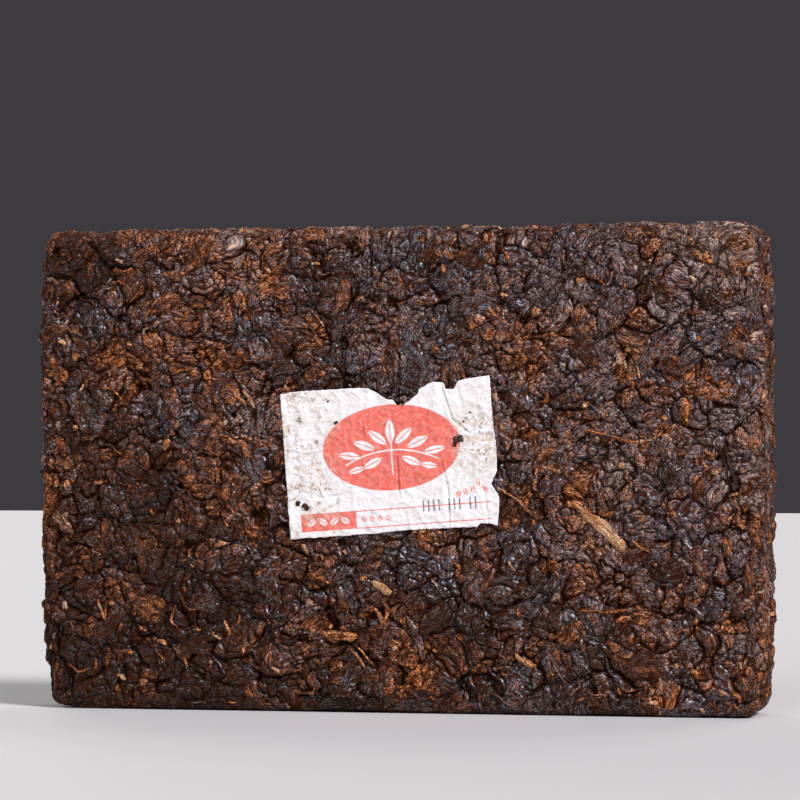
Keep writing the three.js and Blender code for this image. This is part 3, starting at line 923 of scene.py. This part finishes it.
def ramp(value, stops, shades):
    colour, _ = add_node(value.tree, "ShaderNodeValToRGB", {"Fac": value})
    entries = colour.socket.node.color_ramp.elements
    while len(entries) < len(stops):
        entries.new(1.0)
    for entry, stop, shade in zip(entries, stops, shades):
        entry.position = stop
        entry.color = (*shade, 1)
    return colour


def mixed(share, under, over):
    """One colour over another, as far as the share says."""
    under, over = (colour if isinstance(colour, Value) else (*colour, 1) for colour in (under, over))
    return add_node(share.tree, "ShaderNodeMix", {0: share, 6: under, 7: over}, data_type="RGBA")[2]


def attribute(tree, name):
    return add_node(tree, "ShaderNodeAttribute", {}, attribute_name=name)[1]


def bump(shader, height, depth):
    inputs = {"Height": height, "Strength": 1.0, "Distance": depth * MM}
    feed(add_node(height.tree, "ShaderNodeBump", inputs)[0], shader, "Normal")


def new_material(name, roughness, specular=0.5):
    material = bpy.data.materials.new(name)
    material.use_nodes = True
    shader = material.node_tree.nodes["Principled BSDF"]
    feed(roughness, shader, "Roughness")
    feed(specular, shader, "Specular IOR Level")
    return material, shader


def new_group(name, inputs, outputs):
    """A node group, the values that are given to it, and the node that takes its results."""
    group = bpy.data.node_groups.new(name, "ShaderNodeTree")
    for socket, kind in inputs.items():
        group.interface.new_socket(socket, in_out="INPUT", socket_type=f"NodeSocket{kind}")
    for socket in outputs:
        group.interface.new_socket(socket, in_out="OUTPUT", socket_type="NodeSocketFloat")
    given = [Value(socket) for socket in group.nodes.new("NodeGroupInput").outputs]
    return group, given[:len(inputs)], group.nodes.new("NodeGroupOutput")


def leaf_grain_group():
    """Fine wrinkles, grain, blotches and patches of painted sheen, from a place on the leaf in millimetres.
    """
    group, (place,), end = new_group("leaf_grain", {"Place": "Vector"}, ["Crepe", "Grain", "Blotch", "Painted_Sheen"])
    stretched = vector_maths("MULTIPLY", place, (0.6, 1.0, 1.0))
    folds = noise(stretched, 1.7, detail=2.0, roughness=0.5, distortion=0.3)
    feed(maths("ABSOLUTE", folds * 5.0 - 2.5, clamp=True) ** 0.8, end, "Crepe")
    feed(noise(place, 2.5, detail=2.0, roughness=0.6), end, "Grain")
    feed(noise(stretched, 0.5, detail=4.0, roughness=0.65, distortion=0.6), end, "Blotch")
    feed(noise(place, 1.0, detail=4.0, roughness=0.65, distortion=0.4), end, "Painted_Sheen")
    return group


# The tones of leaves from black to straw, their colours, and the grey colours of a painted sheen, a
# reflection painted over glossy leaves and wrinkle crests
LEAF_TONES = [0.0, 0.3, 0.5, 0.68, 0.84, 1.0]
LEAF_COLOURS = [
    (0.026, 0.009, 0.005), (0.095, 0.034, 0.018), (0.31, 0.098, 0.034),
    (0.68, 0.19, 0.04), (0.84, 0.36, 0.14), (0.86, 0.58, 0.34),
]
PAINTED_SHEEN_COLOURS = [
    (0.025, 0.012, 0.013), (0.076, 0.048, 0.056), (0.157, 0.108, 0.12),
    (0.34, 0.22, 0.195), (0.5, 0.33, 0.235), (0.66, 0.44, 0.28),
]
# Painted shade, darker than any leaf, for the hollows of wrinkles, crevices and pits
PAINTED_HOLLOW_SHADE = (0.05, 0.013, 0.004)
LEAF_SHEEN = {"Coat Roughness": 0.45, "Coat IOR": 2.8}
LEAF_GRAIN_DEPTH = 0.5
# The values about which grain, blotches and the patches of painted sheen swing, and about which the wrinkles
# do
GRAIN_MIDDLE = 0.5
CREPE_MIDDLE = 0.6


def leaf_material(name):
    """Black to rust leaf, from each point's place on its leaf and its tone, gloss and ridge."""
    material, shader = new_material(name, 0.5, specular=0.06)
    for socket, amount in LEAF_SHEEN.items():
        feed(amount, shader, socket)
    tree = material.node_tree
    tone, shine, ridge = add_node(tree, "ShaderNodeSeparateXYZ", {0: attribute(tree, "leaf_look")})
    crepe, grain, blotch, sheen_patches = add_node(
        tree, "ShaderNodeGroup", {"Place": attribute(tree, "leaf_place")}, node_tree=leaf_grain_group())
    creped, grained = crepe - CREPE_MIDDLE, grain - GRAIN_MIDDLE
    blotched = maths("MINIMUM", ranged(tone, 0.1, 0.45, 0.8, 2.0), ranged(tone, 0.42, 0.64, 2.0, 0.9))
    mottled = tone + (blotch - GRAIN_MIDDLE) * blotched + grained * 1.6
    mottled = mottled + creped * ranged(tone, 0.25, 0.6, -0.3, 0.2)
    # Painted sheen: grey colours put where the leaf is glossy and on its wrinkle crests, a reflection painted
    # in
    painted_sheen = ranged(shine + (sheen_patches - GRAIN_MIDDLE) * 1.6 + creped * 0.6, 0.38, 0.88)
    colour = mixed(painted_sheen, ramp(mottled, LEAF_TONES, LEAF_COLOURS), ramp(mottled, LEAF_TONES, PAINTED_SHEEN_COLOURS))
    # Painted shade: the hollow colour goes where the ridge or the wrinkles are low
    raised = ranged(ridge, 0.1, 0.7) * ranged(crepe, 0.0, 0.36, 0.12, 1.0)
    raised = most(raised, ranged(tone, 0.62, 0.9, 0.0, 0.65))
    feed(mixed(raised, PAINTED_HOLLOW_SHADE, colour), shader, "Base Color")
    rough = ranged(mottled, 0.2, 0.6, 0.4, 0.6, "LINEAR") + grained * 0.3
    rough = maths("SUBTRACT", rough, shine * 0.1, clamp=True)
    feed(maths("ADD", rough, (1 - raised) * 0.5, clamp=True), shader, "Roughness")
    waxy = ranged(mottled, 0.25, 0.75, 1.0, 0.2, "LINEAR") * ranged(shine, 0.2, 0.75, 0.3, 1.0)
    crest = ranged(crepe, 0.2, 0.8) * ranged(grain, 0.4, 0.54, 0.5, 1.0)
    feed(raised * waxy * crest, shader, "Coat Weight")
    bump(shader, crepe + grain * 0.5, LEAF_GRAIN_DEPTH)
    return material


def leaf_mark_group():
    """A printed leaf, pointed at both ends and with a bare midrib: 1 on it and 0 beside it."""
    group, (place, centre, turn, length, width), end = new_group("leaf_mark", {
        "Place": "Vector", "Centre": "Vector", "Turn": "Float", "Length": "Float", "Width": "Float",
    }, ["Mark"])
    upright, = add_node(group, "ShaderNodeVectorRotate", {
        "Vector": place, "Center": centre, "Angle": turn,
    }, rotation_type="Z_AXIS")
    u, v, _ = add_node(group, "ShaderNodeSeparateXYZ", {0: vector_maths("SUBTRACT", upright, centre)})
    half_width = (1 - (u * 2.0 / length) ** 2.0) * 0.5 * width
    inside = ranged(half_width - abs(v), 0.0, 0.1)
    feed(inside * ranged(abs(v), 0.06, 0.16), end, "Mark")
    return group


PAPER_WHITE = (0.88, 0.825, 0.785)
PRINT_RED = (0.84, 0.14, 0.095)
STAMP_GREY = (0.05, 0.06, 0.085)
DIRT_BROWN = (0.22, 0.16, 0.12)
STAIN_TAN = (0.66, 0.5, 0.37)
PAPER_FIBRE_DEPTH = 0.16
FRAY = (0.22, 0.22, 0.0)  # how far the edges of the print stray
SOFT_EDGE = 0.05
# The print, as centres and half sizes: the red oval, the red block and the rules
OVAL = ((0.7, 2.5), (17.1, 10.4))
BLOCK = ((-16.1, -14.3), (6.9, 2.15))
RULES = [((7.5, height), (16.8, 0.13)) for height in (-12.3, -16.4)]
# The sprig in the oval: its stem bends down to both sides, and has leaves at its tip and in pairs.
# Each leaf has its place from the middle of the oval, its turn in degrees, its length and its width.
STEM_SIZE = (11.5, 8)
STEM_BEND = 0.022
STEM_RISE = -0.6
STALK = ((0, -2.6), (0.14, 4.0))
SPRIG_TIP = (0.0, 3.9, 90, 6.4, 2.3)
SPRIG_PAIRS = [
    (3.2, 2.6, 40, 6.0, 2.2), (6.6, 0.9, 22, 6.2, 2.2), (10.6, -1.3, 8, 6.0, 1.9),
    (4.8, -3.5, -25, 5.6, 2.0), (9.0, -4.9, -12, 4.6, 1.6),
]
# The small leaves, as places and turns in degrees, and then as length and width
BLOCK_LEAVES = [(-20.3, -14.3, 35), (-17.5, -14.3, 145), (-14.7, -14.3, 35), (-11.9, -14.3, 145)]
BLOCK_LEAF_SIZE = (2.9, 1.5)
SMALL_LEAVES = [(-7.3, -14.4, 50), (-5.3, -14.4, 130), (-3.3, -14.4, 50), (-1.3, -14.4, 130)]
SMALL_LEAF_SIZE = (2.2, 1.3)
SEAL_LEAVES = [(16.4, -9.9, 60), (18.2, -9.5, 110), (20.0, -9.1, 75), (21.4, -7.4, 95), (23.0, -9.0, 120)]
SEAL_LEAF_SIZE = (2.5, 1.1)
# The stamped strokes
STROKES = [7.6, 8.9, 10.2, 11.5, 14.0, 15.3, 16.6, 19.2, 20.5]
STROKE_LEVEL = -12.2
STROKE_SIZE = (0.2, 1.4)


def box_mark(x, y, centre, half):
    """1 inside a rectangle and 0 outside it."""
    across, up = (
        ranged(abs(value - middle), size + SOFT_EDGE, size - SOFT_EDGE)
        for value, middle, size in zip((x, y), centre, half)
    )
    return across * up


def oval_mark(x, y, centre, half):
    across, up = (((value - middle) / size) ** 2.0 for value, middle, size in zip((x, y), centre, half))
    return ranged(maths("SQRT", across + up), 1.004, 0.99)


def leaf_marks(place, mark_group, rows, *size):
    """Printed leaves: 1 on them and 0 beside them."""
    marks = []
    for row in rows:
        x, y, turn, length, width = *row, *size
        marks += add_node(place.tree, "ShaderNodeGroup", {
            "Place": place, "Centre": (x, y, 0.0), "Turn": -math.radians(turn),
            "Length": length, "Width": width,
        }, node_tree=mark_group)
    return most(*marks)


def sprig_mark(place, x, y, mark_group):
    """The sprig that is left bare in the red oval."""
    (middle_x, middle_y), _ = OVAL
    mirrored = [(-across, up, 180 - turn, *size) for across, up, turn, *size in SPRIG_PAIRS]
    sprig = [SPRIG_TIP, *mirrored, *SPRIG_PAIRS]
    leaves = [(middle_x + across, middle_y + up, *rest) for across, up, *rest in sprig]
    bent = (x - middle_x) ** 2.0 * STEM_BEND + y
    stem = ranged(abs(bent - (middle_y + STEM_RISE)), 0.22, 0.12) * box_mark(x, y, OVAL[0], STEM_SIZE)
    (across, up), half = STALK
    stalk = box_mark(x, y, (middle_x + across, middle_y + up), half)
    return most(leaf_marks(place, mark_group, leaves), stem, stalk)


def red_mark(place, x, y, faded):
    """Where the ticket is printed red: oval, block, rules, small leaves and a seal of leaves."""
    mark_group = leaf_mark_group()
    oval = oval_mark(x, y, *OVAL) * (1 - sprig_mark(place, x, y, mark_group))
    block = box_mark(x, y, *BLOCK) * (1 - leaf_marks(place, mark_group, BLOCK_LEAVES, *BLOCK_LEAF_SIZE))
    rules = most(*(box_mark(x, y, *rule) for rule in RULES)) * faded
    small = leaf_marks(place, mark_group, SMALL_LEAVES, *SMALL_LEAF_SIZE) * 0.7
    seal = leaf_marks(place, mark_group, SEAL_LEAVES, *SEAL_LEAF_SIZE) * faded
    return most(oval, block, rules, small, seal)


def rubbed_mark(clean, x, y):
    """Where tea has been rubbed into the paper: along its left edge and in the middle of its right edge."""
    smeared = ranged(noise(clean, 0.2, roughness=0.6), 0.4, 0.56)
    at_left = ranged(x, -10.0, -16.0, 0.1, 1.0) * smeared
    at_right = ranged(x, 13.0, 19.0) * ranged(abs(y - 3.0), 12.0, 4.0)
    return most(at_left, at_right)


def paper_material(name):
    """Crumpled white paper printed in red, with a stamped row of strokes, and tea dust rubbed into it."""
    material, shader = new_material(name, 0.78, specular=0.3)
    tree = material.node_tree
    clean = attribute(tree, "paper_place")
    stray = add_node(tree, "ShaderNodeTexNoise", {"Vector": clean, "Scale": 2.2, "Detail": 2.0})[1]
    stray = vector_maths("SUBTRACT", stray, (0.5, 0.5, 0.5))
    place = vector_maths("MULTIPLY_ADD", stray, FRAY, clean)
    x, y, _ = add_node(tree, "ShaderNodeSeparateXYZ", {0: place})
    faded = ranged(noise(clean, 0.9), 0.36, 0.5, 0.5, 1.0)
    patchy = ranged(noise(clean, 0.9, detail=4.0, roughness=0.65), 0.3, 0.6, 0.85, 1.0)
    creased = ranged(abs(noise(clean, 0.3, roughness=0.6, distortion=0.4) - 0.5), 0.0, 0.014, 1.0, 0.0)
    red = red_mark(place, x, y, faded) * (patchy - creased * 0.2)
    colour = mixed(red, PAPER_WHITE, PRINT_RED)
    strokes = most(*(box_mark(x, y, (across, STROKE_LEVEL), STROKE_SIZE) for across in STROKES))
    blotted = ranged(noise(clean, 2.4, detail=2.0), 0.38, 0.5, 0.45, 1.0)
    colour = mixed(strokes * blotted * 0.85, colour, STAMP_GREY)
    rubbed = rubbed_mark(clean, x, y)
    stained = ranged(noise(clean, 0.5, detail=4.0, roughness=0.7, distortion=0.6), 0.42, 0.64, 0.0, 0.75)
    colour = mixed(stained * rubbed, colour, STAIN_TAN)
    dusty = ranged(noise(clean, 0.9, detail=4.0, roughness=0.6, distortion=1.0), 0.53, 0.67, 0.0, 0.85)
    feed(mixed(dusty * rubbed, colour, DIRT_BROWN), shader, "Base Color")
    fibres = noise(clean, 4.0, detail=2.0, roughness=0.5) * 0.15
    fibres = fibres + noise(clean, 0.9, detail=2.0, roughness=0.5, distortion=1.2)
    bump(shader, fibres - creased * 0.25, PAPER_FIBRE_DEPTH)
    return material


def plain_material(name, colour, roughness):
    material, shader = new_material(name, roughness)
    feed((*colour, 1), shader, "Base Color")
    return material


# ---------------------------------------------------------------- the stage

CAMERA_AZIMUTH = math.radians(12.8)
CAMERA_DISTANCE = 0.902
CAMERA_HEIGHT = 0.063
CAMERA_AIM = Vector((0.0019, -0.013, 0.0758))
CAMERA_LENS = 168.0
CAMERA_FILM = 36.0
CAMERA_RANGE = (0.01, 20)
FLOOR_SIZE = 6
FLOOR_COLOUR = (0.62, 0.59, 0.56)
STUDIO_COLOUR = (0.048, 0.044, 0.051)
# The way to each light, how broad it looks in degrees, its strength and its colour
LIGHTS = {
    "key": ((0.6, -0.46, 0.62), 15, 3.6, (0.97, 0.97, 1.04)),
    "window": ((-0.1, -0.8, 0.55), 40, 0.9, (0.85, 0.95, 1.15)),
    "fill": ((-0.7, -0.6, 0.35), 30, 0.2, (1.0, 0.95, 0.9)),
    "rim": ((0.2, 0.5, 0.6), 30, 0.6, (0.95, 0.97, 1.0)),
    "behind": ((-0.5, 0.8, 0.3), 40, 0.9, (1.0, 0.97, 0.95)),
}


def make_camera():
    bpy.ops.object.camera_add()
    camera = bpy.context.object
    camera.name = "camera"
    camera.location = (
        CAMERA_AIM.x + CAMERA_DISTANCE * math.sin(CAMERA_AZIMUTH),
        CAMERA_AIM.y - CAMERA_DISTANCE * math.cos(CAMERA_AZIMUTH),
        CAMERA_HEIGHT,
    )
    camera.rotation_euler = (CAMERA_AIM - camera.location).to_track_quat("-Z", "Y").to_euler()
    camera.data.lens = CAMERA_LENS
    camera.data.sensor_width = CAMERA_FILM
    camera.data.clip_start, camera.data.clip_end = CAMERA_RANGE
    bpy.context.scene.camera = camera


def far_light(name, place, angle, strength, colour):
    """A studio light so far off that it lights the whole floor evenly."""
    data = bpy.data.lights.new(name, "SUN")
    data.angle = math.radians(angle)
    data.energy = strength
    data.color = colour
    light = bpy.data.objects.new(name, data)
    light.location = place
    light.rotation_euler = Vector(place).to_track_quat("Z", "Y").to_euler()
    bpy.context.scene.collection.objects.link(light)


def make_stage():
    bpy.ops.object.select_all(action="DESELECT")
    bpy.ops.mesh.primitive_plane_add(size=FLOOR_SIZE, location=(0, 0, 0))
    floor = bpy.context.object
    floor.name = "floor"
    floor.data.materials.append(plain_material("pale_floor", FLOOR_COLOUR, 0.8))
    world = bpy.data.worlds.new("studio")
    bpy.context.scene.world = world
    world.use_nodes = True
    world.node_tree.nodes["Background"].inputs["Color"].default_value = (*STUDIO_COLOUR, 1)
    for name, values in LIGHTS.items():
        far_light(name, *values)
    bpy.context.scene.view_settings.view_transform = "Standard"


# ---------------------------------------------------------------- the brick put together

wall = wall_of(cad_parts["tea_brick"])
pressed_leaf = leaf_material("pressed_leaf")
for level, bottom, top in (("lower", -TALL, 0), ("upper", 0, TALL)):
    for side, left, right in (("left", -WIDE, 0), ("right", 0, WIDE)):
        quarter = f"pressed_front_{level}_{side}"
        make_pressed(quarter, -1, (left, bottom), (right, top), FRONT_CELL, pressed_leaf)
make_pressed("pressed_back", 1, (-WIDE, -TALL), (WIDE, TALL), BACK_CELL, pressed_leaf)
for kind_name, leaf_kind in LEAF_KINDS.items():
    draws = np.random.default_rng(leaf_kind.seed)
    make_leaves(kind_name, leaf_kind, [leaves_on(draws, face, leaf_kind) for face in FACES], pressed_leaf)
for kind_name, (leaf_kind, front_rows) in FRONT_LEAVES.items():
    make_leaves(kind_name, leaf_kind, [placed_leaves(leaf_kind, front_rows)], pressed_leaf)
make_ticket(paper_material("printed_ticket_paper"))

make_camera()
make_stage()
